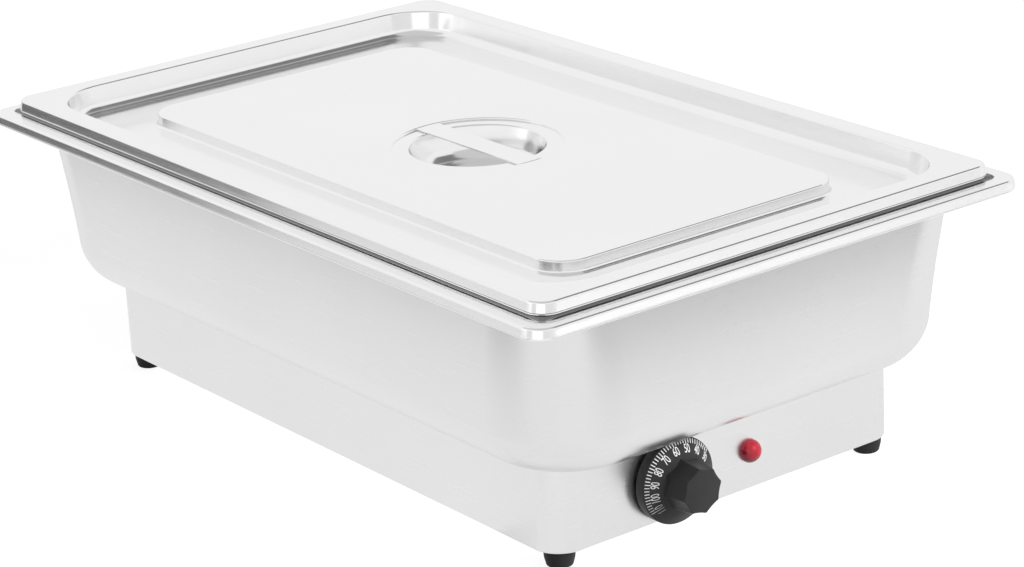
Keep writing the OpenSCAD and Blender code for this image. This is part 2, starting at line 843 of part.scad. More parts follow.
// Thermostat shaft: round in the case, flattened where the knob takes it
module thermostat_shaft() {
    color("silver")
        translate([0, knob_y, knob_axis_z])
            difference() {
                bar_x(shaft_start_x, shaft_end_x, shaft_d);
                translate([hub_x, -shaft_d, shaft_d / 2 - shaft_flat])
                    cube([shaft_end_x - hub_x + 1, 2 * shaft_d, shaft_d]);
            }
}

// Control knob: a round skirt, hollow behind and sloping in front, with a tapered eight-sided grip
module control_knob() {
    skirt_r = skirt_d / 2;
    front_d = grip_af / cos(22.5);
    back_d = (grip_af + grip_taper) / cos(22.5);
    color("#2b2b2b")
        translate([0, knob_y, knob_axis_z])
            difference() {
                union() {
                    translate([skirt_x, 0, 0])
                        rotate([0, 90, 0])
                            rotate_extrude()
                                polygon([
                                    [0, 0], [skirt_r, 0], [skirt_r, skirt_t],
                                    [cone_tip_d / 2, skirt_t + cone_h], [0, skirt_t + cone_h]
                                ]);
                    translate([grip_x, 0, 0])
                        rotate([grip_turn, 0, 0])
                            rotate([0, 90, 0])
                                cylinder(d1 = back_d, d2 = front_d, h = grip_l, $fn = 8);
                }
                bar_x(skirt_x - 1, hub_x, recess_d);
                bar_x(skirt_x, knob_bore_end_x, shaft_d + 2 * fit_gap);
            }
}

// Leaf spring that fills the flat of the shaft in the knob's bore
module knob_spring() {
    color("gold")
        translate([hub_x + 1, knob_y - shaft_d / 4, knob_axis_z + shaft_d / 2 - shaft_flat + fit_gap])
            cube([spring_l, shaft_d / 2, spring_t]);
}

// Capillary tube from the thermostat's case to the sensor bulb
module capillary_tube() {
    start = [case_x + case_l / 2, knob_y - case_w / 2, knob_axis_z];
    color("peru")
        wire([
            start,
            [start[0], bulb_y, start[2]],
            [start[0], bulb_y, bulb_z - bulb_d],
            [start[0] - 2 * bulb_d, bulb_y, bulb_z],
            [bulb_x + bulb_l / 2, bulb_y, bulb_z]
        ], capillary_d);
}

// Sensor bulb under the bath's floor
module sensor_bulb() {
    color("peru")
        translate([0, bulb_y, bulb_z])
            bar_x(bulb_x - bulb_l / 2, bulb_x + bulb_l / 2, bulb_d);
}

// Clips that hold the sensor bulb against the bath's floor
module bulb_clip() {
    clip_w = 10;
    clip_t = 1;
    wing = 3.2;
    reach = bulb_d / 2 + element_gap;
    color("silver")
        for (side = [-1, 1])
            translate([bulb_x + side * bulb_l / 4 - clip_w / 2, bulb_y, bulb_z])
                rotate([90, 0, 90])
                    linear_extrude(clip_w)
                        difference() {
                            union() {
                                circle(r = reach + clip_t);
                                translate([-reach - clip_t, 0])
                                    square([2 * (reach + clip_t), reach]);
                                translate([-reach - wing, reach - clip_t])
                                    square([2 * (reach + wing), clip_t]);
                            }
                            circle(r = reach);
                            translate([-reach, 0])
                                square([2 * reach, reach + 1]);
                            translate([-2 * reach - wing, reach])
                                square([4 * (reach + wing), reach]);
                        }
}

// Thermal cut-out: a round bimetal switch against the bath's floor, with two contact blades
module thermal_cutout() {
    color("#4a3b30")
        translate([cutout_x, cutout_y, floor_z - cutout_h]) {
            cylinder(d = cutout_d, h = cutout_h);
            for (side = [-1, 1])
                translate([side * cutout_d / 4 - blade_t / 2, -cutout_blade_w / 2, -cutout_blade_l])
                    cube([blade_t, cutout_blade_w, cutout_blade_l + 1]);
        }
}

// Bracket with two ears that holds the cut-out to the bath's floor
module cutout_bracket() {
    ear = 6;
    color("silver")
        translate([cutout_x, cutout_y, floor_z - cutout_flange_t])
            difference() {
                union() {
                    cylinder(d = cutout_d + 3, h = cutout_flange_t);
                    translate([-cutout_d / 2 - ear, -4, 0])
                        cube([cutout_d + 2 * ear, 8, cutout_flange_t]);
                }
                translate([0, 0, -1])
                    cylinder(d = cutout_d + 2 * fit_gap, h = cutout_flange_t + 2);
            }
}

// Lamp lens: a red dome with a short round skirt on the plinth's face
module lamp_lens() {
    skirt_h = 1.5;
    dome_h = lens_h - skirt_h;
    dome_r = (lens_d * lens_d / 4 + dome_h * dome_h) / (2 * dome_h);
    color("#c01733")
        translate([panel_x, lamp_offset, plinth_z0 + lamp_z])
            rotate([0, 90, 0]) {
                cylinder(d = lens_d, h = skirt_h);
                intersection() {
                    translate([0, 0, skirt_h + dome_h - dome_r])
                        sphere(r = dome_r);
                    translate([0, 0, skirt_h / 2])
                        cylinder(d = lens_d, h = lens_h);
                }
            }
}

module lamp_body() {
    color("whitesmoke")
        translate([0, lamp_offset, plinth_z0 + lamp_z]) {
            bar_x(panel_x - lamp_l, panel_x, lamp_d);
            for (side = [-1, 1])
                translate([panel_x - lamp_l - blade_l, side * lamp_d / 4 - blade_t / 2, -lamp_blade_w / 2])
                    cube([blade_l + 1, blade_t, lamp_blade_w]);
        }
}

// Ring nut that holds the lamp from inside
module lamp_nut() {
    ring_t = 3;
    color("whitesmoke")
        translate([0, lamp_offset, plinth_z0 + lamp_z])
            difference() {
                bar_x(inner_x - ring_t, inner_x, lamp_d + 5);
                bar_x(inner_x - ring_t - 1, inner_x + 1, lamp_d + 2 * fit_gap);
            }
}

// Terminal block on the bottom plate, with three wire holes
module terminal_block() {
    color("ivory")
        translate([block_x, block_y, plate_top_z])
            difference() {
                translate([-block_w / 2, -block_l / 2, 0])
                    cube([block_w, block_l, block_h]);
                for (i = [-1 : 1])
                    translate([0, i * block_l / 3, block_h - 5])
                        cylinder(d = 5, h = 6);
            }
}

module earth_stud() {
    color("gold")
        translate([earth_x, earth_y, plate_top_z])
            cylinder(d = screw_d, h = earth_h);
}

module earth_nut() {
    color("gold")
        translate([earth_x, earth_y, plate_top_z])
            nut(nut_af, nut_t, screw_d + 2 * fit_gap);
}

// Inner wires: block to thermostat, thermostat to element, element through the cut-out to the block,
// thermostat to lamp, and earth
module internal_wires() {
    run_z = plate_top_z + block_h / 2;
    earth_z = plate_top_z + 5;
    block_end_x = block_x + block_w / 2;
    turn_x = block_end_x + 12;
    blade_x = case_x - blade_l;
    rise_x = blade_x - 6;
    pin_end_x = leg_l / 2 + pin_l;
    pin_y = 1.5 * leg_pitch;
    lamp_end_x = panel_x - lamp_l - blade_l;
    lamp_axis_z = plinth_z0 + lamp_z;
    lamp_y = lamp_offset - lamp_d / 4;
    cutout_end_z = floor_z - cutout_h - cutout_blade_l;
    color("firebrick") {
        wire([
            [block_end_x, block_y - block_l / 3, run_z],
            [turn_x, block_y - block_l / 3, run_z],
            [turn_x, -cutout_y, run_z],
            [rise_x - 18, -cutout_y, run_z],
            [rise_x - 8, knob_y - case_w / 4, knob_axis_z],
            [blade_x, knob_y - case_w / 4, knob_axis_z]
        ], wire_d);
        wire([
            [blade_x, knob_y, knob_axis_z],
            [rise_x, knob_y, knob_axis_z],
            [rise_x, -pin_y, element_z],
            [pin_end_x, -pin_y, element_z]
        ], wire_d);
        wire([
            [block_end_x, block_y + block_l / 3, run_z],
            [turn_x, block_y + block_l / 3, run_z],
            [turn_x, cutout_y, run_z],
            [cutout_x - cutout_d / 4, cutout_y, run_z],
            [cutout_x - cutout_d / 4, cutout_y, cutout_end_z]
        ], wire_d);
        wire([
            [cutout_x + cutout_d / 4, cutout_y, cutout_end_z],
            [cutout_x + cutout_d / 4, cutout_y, run_z],
            [rise_x, cutout_y, run_z],
            [rise_x, pin_y, element_z],
            [pin_end_x, pin_y, element_z]
        ], wire_d);
        wire([
            [blade_x, knob_y + case_w / 4, knob_axis_z],
            [rise_x, knob_y + case_w / 4, knob_axis_z],
            [lamp_end_x - 6, lamp_y, lamp_axis_z],
            [lamp_end_x, lamp_y, lamp_axis_z]
        ], wire_d);
        wire([
            [block_end_x, block_y, earth_z],
            [block_end_x + 6, block_y, earth_z],
            [block_end_x + 6, earth_y, earth_z],
            [earth_x + screw_d / 2, earth_y, earth_z]
        ], wire_d);
    }
}

// Cable gland on the far end: a threaded neck through the plinth, a hexagon and a tapered cap
module cable_gland() {
    color("#1f1f1f")
        translate([0, gland_offset, gland_axis_z])
            difference() {
                union() {
                    bar_x(-panel_x, -panel_x + gland_neck_l, gland_d);
                    bar_x(-panel_x - gland_hex_l, -panel_x, gland_hex_af / cos(30), 6);
                    translate([-panel_x - gland_hex_l, 0, 0])
                        rotate([0, -90, 0])
                            cylinder(d1 = gland_hex_af - 1, d2 = gland_bore_d + 4, h = gland_dome_l);
                }
                bar_x(-panel_x - gland_hex_l - gland_dome_l - 1, -panel_x + gland_neck_l + 1, gland_bore_d);
            }
}

module gland_nut() {
    color("#1f1f1f")
        translate([-inner_x, gland_offset, gland_axis_z])
            rotate([0, 90, 0])
                nut(gland_hex_af, gland_nut_t, gland_d + 2 * fit_gap);
}

lid();
lid_grip_bar();
food_pan();
water_bath();
plinth();
bottom_plate();
foot(1);  // foot_1
foot(2);  // foot_2
foot(3);  // foot_3
foot(4);  // foot_4
foot_screws();
foot_nuts();
bath_studs();
bath_nuts();
heat_spreader();
heating_element();
element_clamps();
clamp_studs();
clamp_nuts();
insulation_pad();
heat_shield();
shield_nuts();
thermostat_case();
thermostat_screws();
thermostat_shaft();
control_knob();
knob_spring();
capillary_tube();
sensor_bulb();
bulb_clip();
thermal_cutout();
cutout_bracket();
lamp_lens();
lamp_body();
lamp_nut();
terminal_block();
earth_stud();
earth_nut();
internal_wires();
cable_gland();
gland_nut();
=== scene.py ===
"""Electric chafing dish: smooth sheet-metal shells, a printed knob, a pilot lamp
and a studio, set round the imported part."""

import json
import math

import bpy
from mathutils import Matrix, Quaternion, Vector


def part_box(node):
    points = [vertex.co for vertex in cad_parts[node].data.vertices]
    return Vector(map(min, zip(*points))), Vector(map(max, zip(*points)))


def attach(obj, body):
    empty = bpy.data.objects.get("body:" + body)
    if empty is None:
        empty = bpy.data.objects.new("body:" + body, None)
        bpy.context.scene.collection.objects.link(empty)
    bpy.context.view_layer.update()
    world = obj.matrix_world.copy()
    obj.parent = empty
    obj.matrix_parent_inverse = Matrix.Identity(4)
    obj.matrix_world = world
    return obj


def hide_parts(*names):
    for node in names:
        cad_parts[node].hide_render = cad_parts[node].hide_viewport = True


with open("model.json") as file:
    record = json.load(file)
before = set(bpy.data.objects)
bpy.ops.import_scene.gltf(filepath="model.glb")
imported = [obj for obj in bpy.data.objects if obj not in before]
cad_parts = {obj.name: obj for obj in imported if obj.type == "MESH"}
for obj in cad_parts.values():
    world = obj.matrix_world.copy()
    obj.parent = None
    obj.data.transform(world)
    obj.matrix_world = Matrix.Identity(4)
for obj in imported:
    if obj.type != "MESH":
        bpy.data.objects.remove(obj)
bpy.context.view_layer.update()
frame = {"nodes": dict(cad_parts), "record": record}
nodes = frame["nodes"]

# Lengths are in metres and angles in degrees
MM = 0.001

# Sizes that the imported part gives
lid_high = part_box("lid")[1]
pan_low, pan_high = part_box("food_pan")
bath_low, bath_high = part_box("water_bath")
plinth_low, plinth_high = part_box("plinth")
knob_low, knob_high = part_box("control_knob")
lens_low, lens_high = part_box("lamp_lens")
bar_low, bar_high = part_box("lid_grip_bar")

# Sheet metal
SHEET = 0.8 * MM
CORNER_STEPS = 20
ARC_STEPS = 8
EDGE_STEPS = 4
LEAST_CORNER = 0.05 * MM
LID_CORNER = 12 * MM
LIP_BEND = 1.6 * MM
LIP_FLARE = 10
REST_GAP = 0.2 * MM
CUT_EDGE = 0.2 * MM

# Further materials on one piece, by their place among its materials: some hold a real polish and some a dark
# steel that is painted shade in gaps and seams
SECOND_SLOT = 1
THIRD_SLOT = 2

# Lid
LID_BORDER = 14 * MM
WELL_DEPTH = 16 * MM
WELL_CORNER = 38 * MM
WELL_DRAFT = 11
WELL_FILLET = 7 * MM
WELL_BEND = 1.4 * MM
PANEL = (205 * MM, 103 * MM, 20 * MM)
PANEL_RISE = 7.2 * MM
STEP_DRAFT = 4
STEP_IN = 2 * MM
STEP_OUT = 1 * MM
DISH_RADIUS = 42 * MM
DISH_DEPTH = 20 * MM
DISH_DRAFT = 20
DISH_FILLET = 12 * MM
DISH_BEND = 1.6 * MM
LEDGE_RADIUS = 51 * MM
LEDGE_EDGE = 0.9 * MM
LEDGE_FOOT_STEPS = 3
LEDGE_EDGE_STEPS = 5

# Grip bar
STRAP_SOFT = 0.3 * MM
STRAP_END_STEPS = 10

# Food pan
PAN = (252.5 * MM, 150 * MM, 40 * MM)
PAN_FILLET = 20 * MM
PAN_BEND = 4 * MM
FACING_DOWN = 0.9  # downward part of a direction, above which a face is the flange's underside and gets painted shade
WALL_DRAFT = 4

# Water bath
BATH = (261 * MM, 158.5 * MM)
BATH_TOP_CORNER = 45 * MM
BATH_LOW_CORNER = 55 * MM
BATH_FLOOR_CORNER = 25 * MM
FLOOR_CLOSING = 1.25  # power by which the corners close in round the floor
BATH_FILLET = 27.5 * MM
BATH_FILLET_STEPS = 16
BATH_BEND = 2 * MM
BATH_WALL_RINGS = 14
LEAST_RUN = 0.01 * MM  # smallest way outwards over which a corner's rate is taken
RATE_LIMIT = 2.5  # largest rate of a corner that the facing directions follow
RIM_MARGIN = 12 * MM
RIM_CORNER = 14 * MM
RIM_STEP = 1.2 * MM
RIM_LIP = 4.7 * MM
RIM_ROLL = 1.3 * MM
ROLL_START = 60
ROLL_END = -240
ROLL_STEPS = 16
SEAT_INSET = 0.8 * MM
SEAT_ABOVE = 0.1 * MM  # height over the rim from which the seat's painted shade starts
SEAT_SLOPE = 45
SEAT_ROUND = 0.6 * MM
SEAT_STEPS = 3
EDGE_ROUND = 0.4 * MM

# Plinth
PLINTH_SHEET = 1 * MM
PLINTH_CORNER = 17 * MM
PLINTH_BEND = 1.5 * MM
FACING_UP = 0.15  # upward part of a direction, above which a face is the upper edge and gets painted shade
TOP_EDGE = 13 * MM
BOTTOM_EDGE = 25 * MM
HOLE_CORNER = 1 * MM

# Knob, along its own axis from the skirt's back
ROUND_STEPS = 5
SKIRT_THICKNESS = 6.4 * MM
SKIRT_EDGE = 0.6 * MM
SKIRT_LEAN = 30
SKIRT_SLOPE = math.tan(math.radians(SKIRT_LEAN))
SKIRT_SIDES = 128
SKIRT_CREASE = 35
KNOB_BORE = 4 * MM
RECESS_RADIUS = 20.8 * MM
RECESS_DEPTH = 3 * MM
CONE_TIP = 12 * MM
GRIP_SIDES = 8
GRIP_TURN = 9
GRIP_BACK = 14.8 * MM
GRIP_FRONT = 12.6 * MM
GRIP_SAG = 0.4 * MM  # hollow in the middle of a side
GRIP_SOFT = 0.5 * MM
GRIP_EDGE = 0.6 * MM
GRIP_EDGE_STEPS = 5
GRIP_POINTS = 9
GRIP_CREASE = 28

# Scale on the knob's skirt
PRINT_LIFT = 0.04 * MM
TICK_OUTER = 24.4 * MM
TICK_SHORT = 22.0 * MM
TICK_LONG = 21.5 * MM
TICK_WIDTH = 0.5 * MM
NUMBER_RADIUS = 19.2 * MM
NUMBER_HEIGHT = 4.9 * MM
NUMBER_WIDTH = 0.62  # share of the font's own width
NUMBER_STEP = 10
FIGURE_SHARE = 0.7  # height of a figure as a share of the font's size
FIGURE_SPACING = 0.95
DIAL_FIRST = 30
DIAL_LAST = 110
DIAL_STEP = 2
DIAL_START_ANGLE = 31.8
DIAL_DEGREES_PER_UNIT = 2.29

# Pilot lamp
LENS_COLLAR = 1.5 * MM
LENS_STEPS = 12
LENS_TIP = 0.5  # part of a step that is left flat at the tip
LENS_SIDES = 64
LENS_CREASE = 40

# Feet
FOOT_COUNT = 4
FOOT_TAPER = 1.25 * MM
FOOT_MIDDLE = 0.7  # share of the taper that is reached at half height
FOOT_EDGE = 1.5 * MM
FOOT_EDGE_STEPS = 8
FOOT_HOLE = 4.1 * MM
FOOT_BORE = 2.3 * MM
FOOT_SIDES = 48
FOOT_CREASE = 30

# Relief and scale of the materials' patterns
RELIEF = 0.1 * MM
PRISM_RELIEF = 0.3 * MM
EVEN = (1, 1, 1)

# Camera, from a fit to the lid's, rim's and plinth's edges in the photograph
CAMERA_PLACE = Vector((1.5062, -1.1129, 0.7510))
CAMERA_AIM = Vector((0, 0.0202, 0.0736))
CAMERA_ROLL = -2.87
CAMERA_LENS = 116.4
SENSOR_WIDTH = 36

# Studio, with levels where 1 is white
FLOOR_HALF = 12
FLOOR_DROP = 0.2 * MM
FLOOR_DARK = 0.24
FLOOR_LIGHT = 0.26
FLOOR_ROUGH = 0.9
FLOOR_SHINE = 0.1
FLOOR_SEEN = 0.90
FLOOR_MIRRORED = 0.63
WORLD_LIGHT = 0.15
WORLD_MIRRORED = 0.92
WORLD_SEEN = 1.0
CEILING = 1.3
ON_FLOOR = 4 * MM
SCREEN_STEPS = 24


# Rings: rounded rectangles that a sheet's surface runs through, each with the direction the surface faces
class Ring:
    """A rounded rectangle at a height. face is (outwards, up), and rate says how fast
    the corner radius follows the offset."""

    def __init__(self, half_x, half_y, corner, z, face, rate=1.0):
        self.half_x = half_x
        self.half_y = half_y
        self.corner = corner
        self.z = z
        self.face = face
        self.rate = rate

    def offset(self, distance):
        """The ring on the other side of a sheet of that thickness, facing the other way."""
        out, up = self.face
        step = -distance * out
        return Ring(
            self.half_x + step,
            self.half_y + step,
            max(self.corner + step, LEAST_CORNER),
            self.z - distance * up,
            (-out, -up),
            self.rate,
        )

    def points(self):
        """Places and facing directions, anticlockwise from +X."""
        places, faces = [], []
        out, up = self.face
        for quarter in range(4):
            side_x = 1 if quarter in (0, 3) else -1
            side_y = 1 if quarter in (0, 1) else -1
            centre_x = side_x * (self.half_x - self.corner)
            centre_y = side_y * (self.half_y - self.corner)
            for step in range(CORNER_STEPS + 1):
                turn = math.radians(90 * (quarter + step / CORNER_STEPS))
                cosine, sine = math.cos(turn), math.sin(turn)
                places.append((centre_x + self.corner * cosine, centre_y + self.corner * sine, self.z))
                reach = abs(cosine) + abs(sine)
                lean = up * (reach - self.rate * (reach - 1))
                faces.append(Vector((out * cosine, out * sine, lean)).normalized())
        return places, faces


def arc(outline, centre, radius, start, end, facing, steps=ARC_STEPS):
    """Rings round an arc of the sheet's section; facing is 1 away from the centre, -1 towards it."""
    half_x, half_y, corner = outline
    rings = []
    for step in range(steps + 1):
        turn = math.radians(start + (end - start) * step / steps)
        cosine, sine = math.cos(turn), math.sin(turn)
        out = centre[0] + radius * cosine
        z = centre[1] + radius * sine
        corner_now = max(corner + out, LEAST_CORNER)
        rings.append(Ring(half_x + out, half_y + out, corner_now, z, (facing * cosine, facing * sine)))
    return rings


def bowl_centres(top, depth, draft, fillet, bend):
    """Centres of a drawn bowl's floor fillet and top bend, as (offset from the wall's top line, height)."""
    lean = math.radians(draft)
    fillet_z = top - depth + fillet
    tangent_z = fillet_z - fillet * math.sin(lean)
    fillet_out = -(top - tangent_z) * math.tan(lean) - fillet * math.cos(lean)
    bend_out = -bend * math.tan(lean) + (bend - SHEET) / math.cos(lean)
    return (fillet_out, fillet_z), (bend_out, top - bend)


def bowl(outline, top, depth, draft, fillet, bend):
    """Rings of a drawn bowl's upper side, from the edge of its floor to the edge of its flange."""
    fillet_centre, bend_centre = bowl_centres(top, depth, draft, fillet, bend)
    low = arc(outline, fillet_centre, fillet - SHEET, -90, -draft, -1)
    high = arc(outline, bend_centre, bend, 180 - draft, 90, 1)
    return low + high


def lip(outline, top, height):
    """Rings of a flared lip's bend and outer side, from the edge of its flange to its lower edge."""
    flare = math.radians(LIP_FLARE)
    straight = height - LIP_BEND * (1 - math.sin(flare))
    out = -LIP_BEND * math.cos(flare) - straight * math.tan(flare)
    rings = arc(outline, (out, top - LIP_BEND), LIP_BEND, 90, LIP_FLARE, 1)
    half_x, half_y, corner = outline
    rings.append(Ring(half_x, half_y, corner, top - height, rings[-1].face))
    return rings


def lip_edge(outline, bottom):
    """Rings round the lower edge of a flared lip, from its outer to its inner side."""
    slant = 1 / math.cos(math.radians(LIP_FLARE))
    outer_centre = (-CUT_EDGE * slant, bottom)
    inner_centre = ((CUT_EDGE - SHEET) * slant, bottom)
    outer = arc(outline, outer_centre, CUT_EDGE, LIP_FLARE, -90, 1, EDGE_STEPS)
    inner = arc(outline, inner_centre, CUT_EDGE, -90, LIP_FLARE - 180, 1, EDGE_STEPS)
    return outer[1:] + inner[:-1]


def under(rings, thickness=SHEET):
    """The other side of a sheet, in the opposite order."""
    return [ring.offset(thickness) for ring in reversed(rings)]


def mesh_object(name, places, faces, directions=None):
    """A smooth mesh, with the facing directions that its formula gives where there are any."""
    mesh = bpy.data.meshes.new(name)
    mesh.from_pydata(places, [], faces)
    mesh.polygons.foreach_set("use_smooth", [True] * len(mesh.polygons))
    if directions:
        mesh.normals_split_custom_set_from_vertices(directions)
    made = bpy.data.objects.new(name, mesh)
    bpy.context.scene.collection.objects.link(made)
    return made


def skin(name, rings, closed=False):
    """A surface through the rings, from the upper side to the under side. Its first and last ring
    are filled, or joined to each other when it is closed."""
    places, directions, faces = [], [], []
    for ring in rings:
        ring_places, ring_faces = ring.points()
        places += ring_places
        directions += ring_faces
    count = 4 * (CORNER_STEPS + 1)
    last = (len(rings) - 1) * count
    pairs = [(ring * count, (ring + 1) * count) for ring in range(len(rings) - 1)]
    if closed:
        pairs.append((last, 0))
    for here, there in pairs:
        for point in range(count):
            following = (point + 1) % count
            faces.append((here + point, there + point, there + following, here + following))
    if not closed:
        faces.append(tuple(range(count)))
        faces.append(tuple(last + point for point in reversed(range(count))))
    return mesh_object(name, places, faces, directions)


def stack_faces(levels, count):
    """Faces of one outline repeated at several levels, with both ends filled."""
    faces = []
    last = (levels - 1) * count
    for here in range(0, last, count):
        there = here + count
        for point in range(count):
            following = (point + 1) % count
            faces.append((here + point, here + following, there + following, there + point))
    faces.append(tuple(reversed(range(count))))
    faces.append(tuple(last + point for point in range(count)))
    return faces


def dress(piece, body, material, slot, *stands_for):
    """Gives a piece its material and its body, and hides the imported nodes that it stands for."""
    piece.data.materials.append(material)
    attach(piece, body)
    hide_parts(*stands_for)
    return piece


# Materials
def new_material(name):
    """A node material, with its node tree and its shader."""
    material = bpy.data.materials.new(name)
    material.use_nodes = True
    tree = material.node_tree
    return material, tree, tree.nodes["Principled BSDF"]


def add(tree, kind, **values):
    """Adds a node and sets its inputs."""
    node = tree.nodes.new(kind)
    for name, value in values.items():
        node.inputs[name].default_value = value
    return node


def object_space(tree, scale):
    """Object coordinates stretched by a scale, which keep with the piece as it moves."""
    place = add(tree, "ShaderNodeTexCoord")
    stretch = add(tree, "ShaderNodeMapping", Scale=scale)
    tree.links.new(place.outputs["Object"], stretch.inputs["Vector"])
    return stretch.outputs["Vector"]


def noise(tree, space, **values):
    """A noise pattern in a space."""
    pattern = add(tree, "ShaderNodeTexNoise", **values)
    tree.links.new(space, pattern.inputs["Vector"])
    return pattern.outputs["Fac"]


def as_colour(value):
    """A colour or a grey level as four channels."""
    if isinstance(value, float):
        return (value, value, value, 1)
    return (*value, 1)


def ramp(tree, source, low, high, start=0.3, end=0.7):
    """A colour ramp between two colours or grey levels."""
    node = add(tree, "ShaderNodeValToRGB")
    first, second = node.color_ramp.elements
    first.position = start
    second.position = end
    first.color = as_colour(low)
    second.color = as_colour(high)
    tree.links.new(source, node.inputs["Fac"])
    return node.outputs["Color"]


def relief(tree, source, shader, strength, depth=RELIEF):
    """Fine relief on the surface that follows a pattern."""
    bump = add(tree, "ShaderNodeBump", Strength=strength, Distance=depth)
    tree.links.new(source, bump.inputs["Height"])
    tree.links.new(bump.outputs["Normal"], shader.inputs["Normal"])


def steel(name, light, dark, smooth, rough, grain, bump):
    """Sheet steel: fine streaks along the rolling direction in roughness and relief, clouds in colour."""
    material, tree, shader = new_material(name)
    streaks = noise(tree, object_space(tree, grain), Scale=1.0, Detail=4.0, Roughness=0.6)
    clouds = noise(tree, object_space(tree, EVEN), Scale=9.0, Detail=2.0)
    tree.links.new(ramp(tree, clouds, dark, light), shader.inputs["Base Color"])
    tree.links.new(ramp(tree, streaks, smooth, rough), shader.inputs["Roughness"])
    relief(tree, streaks, shader, bump)
    shader.inputs["Metallic"].default_value = 1.0
    return material


def moulded(name, light, dark, smooth, rough, grain=2500.0, bump=0.12, metallic=0.0, shine=0.5):
    """Plastic, rubber, fibre or plain metal with a fine grain and a slow change of tone."""
    material, tree, shader = new_material(name)
    space = object_space(tree, EVEN)
    fine = noise(tree, space, Scale=grain, Detail=3.0)
    slow = noise(tree, space, Scale=40.0, Detail=2.0)
    tree.links.new(ramp(tree, slow, dark, light), shader.inputs["Base Color"])
    tree.links.new(ramp(tree, fine, smooth, rough), shader.inputs["Roughness"])
    relief(tree, fine, shader, bump)
    shader.inputs["Metallic"].default_value = metallic
    shader.inputs["Specular IOR Level"].default_value = shine
    return material


def lens_material():
    """Red plastic whose tint and relief follow a pattern of small prisms."""
    material, tree, shader = new_material("red_lens")
    prisms = add(tree, "ShaderNodeTexVoronoi", Scale=330.0)
    tree.links.new(object_space(tree, EVEN), prisms.inputs["Vector"])
    pattern = prisms.outputs["Distance"]
    tint = ramp(tree, pattern, low=(0.48, 0.013, 0.036), high=(0.35, 0.008, 0.022), start=0.1, end=0.75)
    tree.links.new(tint, shader.inputs["Base Color"])
    relief(tree, pattern, shader, strength=0.1, depth=PRISM_RELIEF)
    shader.inputs["Roughness"].default_value = 0.16
    shader.inputs["Specular IOR Level"].default_value = 0.5
    return material


polished = steel(
    "polished_steel", light=(0.945, 0.945, 0.946), dark=(0.93, 0.93, 0.931),
    smooth=0.14, rough=0.19, grain=(30, 900, 900), bump=0.01,
)
satin = steel(
    "satin_steel", light=(0.865, 0.865, 0.867), dark=(0.845, 0.845, 0.847),
    smooth=0.27, rough=0.31, grain=(25, 25, 1400), bump=0.004,
)
# Dark steel that is painted shade: it darkens the hidden faces round the gap under the pan's flange and the
# seam under the bath, where shade falls
painted_shade_steel = steel(
    "painted_shade_steel", light=(0.27, 0.27, 0.273), dark=(0.22, 0.22, 0.223),
    smooth=0.36, rough=0.46, grain=(20, 900, 900), bump=0.05,
)
plain_steel = steel(
    "plain_steel", light=(0.68, 0.69, 0.70), dark=(0.60, 0.61, 0.62),
    smooth=0.34, rough=0.46, grain=(20, 900, 900), bump=0.08,
)
zinc = moulded(
    "zinc_plate", light=(0.70, 0.70, 0.69), dark=(0.60, 0.60, 0.58),
    smooth=0.28, rough=0.42, grain=900.0, bump=0.1, metallic=1.0,
)
aluminium = moulded(
    "aluminium", light=(0.82, 0.83, 0.84), dark=(0.74, 0.75, 0.76),
    smooth=0.32, rough=0.44, grain=600.0, bump=0.1, metallic=1.0,
)
sheath = moulded(
    "element_sheath", light=(0.22, 0.20, 0.19), dark=(0.13, 0.12, 0.115),
    smooth=0.45, rough=0.6, grain=900.0, bump=0.2, metallic=0.7,
)
fibre = moulded(
    "fibre_mat", light=(0.86, 0.83, 0.76), dark=(0.74, 0.71, 0.64),
    smooth=0.85, rough=0.98, grain=1200.0, bump=0.7,
)
rubber = moulded(
    "black_rubber", light=(0.030, 0.030, 0.031), dark=(0.022, 0.022, 0.023),
    smooth=0.50, rough=0.66, grain=1800.0, bump=0.2, shine=0.2,
)
black_plastic = moulded(
    "black_plastic", light=(0.024, 0.024, 0.025), dark=(0.018, 0.018, 0.019),
    smooth=0.36, rough=0.46, shine=0.32,
)
bakelite = moulded(
    "bakelite", light=(0.12, 0.075, 0.05), dark=(0.075, 0.045, 0.03),
    smooth=0.35, rough=0.5,
)
white_plastic = moulded(
    "white_plastic", light=(0.84, 0.83, 0.79), dark=(0.78, 0.77, 0.73),
    smooth=0.38, rough=0.5,
)
print_white = moulded(
    "printed_white", light=(0.86, 0.86, 0.86), dark=(0.74, 0.74, 0.74),
    smooth=0.55, rough=0.7, grain=3500.0, bump=0.05,
)
brass = moulded(
    "brass", light=(0.80, 0.62, 0.30), dark=(0.66, 0.48, 0.20),
    smooth=0.26, rough=0.4, grain=700.0, bump=0.1, metallic=1.0,
)
copper = moulded(
    "copper", light=(0.80, 0.46, 0.32), dark=(0.62, 0.32, 0.20),
    smooth=0.26, rough=0.42, grain=700.0, bump=0.1, metallic=1.0,
)
wire_cover = moulded(
    "wire_cover", light=(0.52, 0.06, 0.05), dark=(0.40, 0.04, 0.035),
    smooth=0.5, rough=0.65, grain=1500.0, bump=0.15,
)
red_lens = lens_material()
SLOT_MATERIALS = {
    "polished_steel": polished,
    "steel": satin,
    "plain_steel": plain_steel,
    "zinc": zinc,
    "aluminium": aluminium,
    "element_sheath": sheath,
    "fibre": fibre,
    "rubber_black": rubber,
    "plastic_black": black_plastic,
    "bakelite": bakelite,
    "white_plastic": white_plastic,
    "red_lens": red_lens,
    "brass": brass,
    "copper": copper,
    "wire_cover": wire_cover,
}
for subpart in frame["record"]["subparts"]:
    node = nodes[subpart["node"]]
    node.data.materials.clear()
    node.data.materials.append(SLOT_MATERIALS[subpart["material_slot"]])


